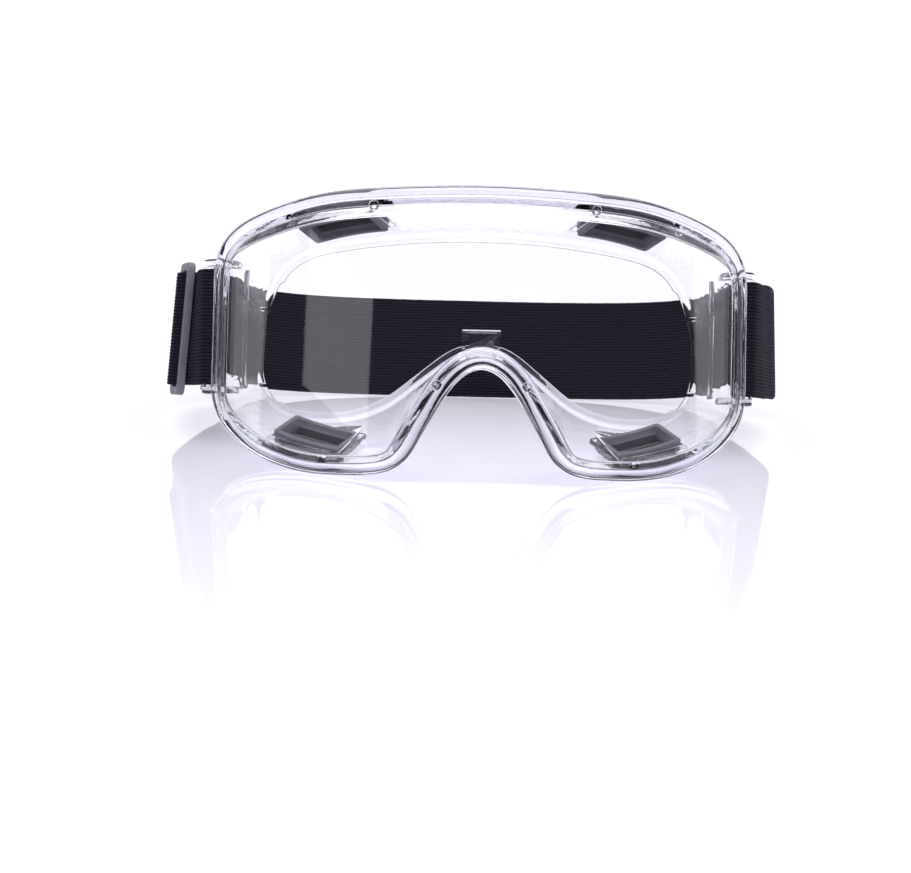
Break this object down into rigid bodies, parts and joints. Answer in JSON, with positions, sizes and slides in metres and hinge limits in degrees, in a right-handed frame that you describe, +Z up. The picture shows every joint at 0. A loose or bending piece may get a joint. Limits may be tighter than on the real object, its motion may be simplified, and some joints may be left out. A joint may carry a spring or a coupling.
{
  "type": "safety goggles",
  "caption": "Clear wrap-round splash goggles with a soft vinyl frame, indirect vents and an elastic head strap.",
  "frame": {"origin": "on the table, under the middle of the whole object's box, with the goggles leaning back on their two lobes and the strap's rear edge", "axes": "+X to the wearer's left, +Y from the lens towards the back of the strap, +Z up"},
  "size_m": [0.2149, 0.1476, 0.0889],
  "materials": {
    "clear_vinyl": "clear soft vinyl, glossy with a faint cool tint",
    "clear_lens": "clear polished polycarbonate",
    "vent_plastic": "dark grey moulded, slightly satin",
    "slider_plastic": "dark grey moulded, satin",
    "elastic_webbing": "black ribbed knitted elastic",
    "thread": "black sewing thread"
  },
  "bodies": {
    "frame": {"frame_body": "clear_vinyl", "lens": "clear_lens", "vent_bezel_top_left": "vent_plastic", "vent_cap_top_left": "vent_plastic", "vent_bezel_top_right": "vent_plastic", "vent_cap_top_right": "vent_plastic", "vent_bezel_bottom_left": "vent_plastic", "vent_cap_bottom_left": "vent_plastic", "vent_bezel_bottom_right": "vent_plastic", "vent_cap_bottom_right": "vent_plastic", "strap_side_left": "elastic_webbing", "strap_side_right": "elastic_webbing", "stitching_left": "thread"},
    "rear_band": {"strap_rear": "elastic_webbing"},
    "slider": {"strap_slider": "slider_plastic", "stitching_right": "thread"}
  },
  "joints": [
    {"name": "strap_stretch", "type": "slide", "parent": "frame", "child": "rear_band", "axis": [0, 1, 0], "range_m": [0, 0.06], "stiffness_N_per_m": 120, "deforming": ["strap_side_left", "strap_side_right"]},
    {"name": "slider_travel", "type": "slide", "parent": "frame", "child": "slider", "axis": [-0.3584, 0.9115, -0.2021], "range_m": [-0.003, 0.012], "deforming": ["strap_side_right"]}
  ]
}
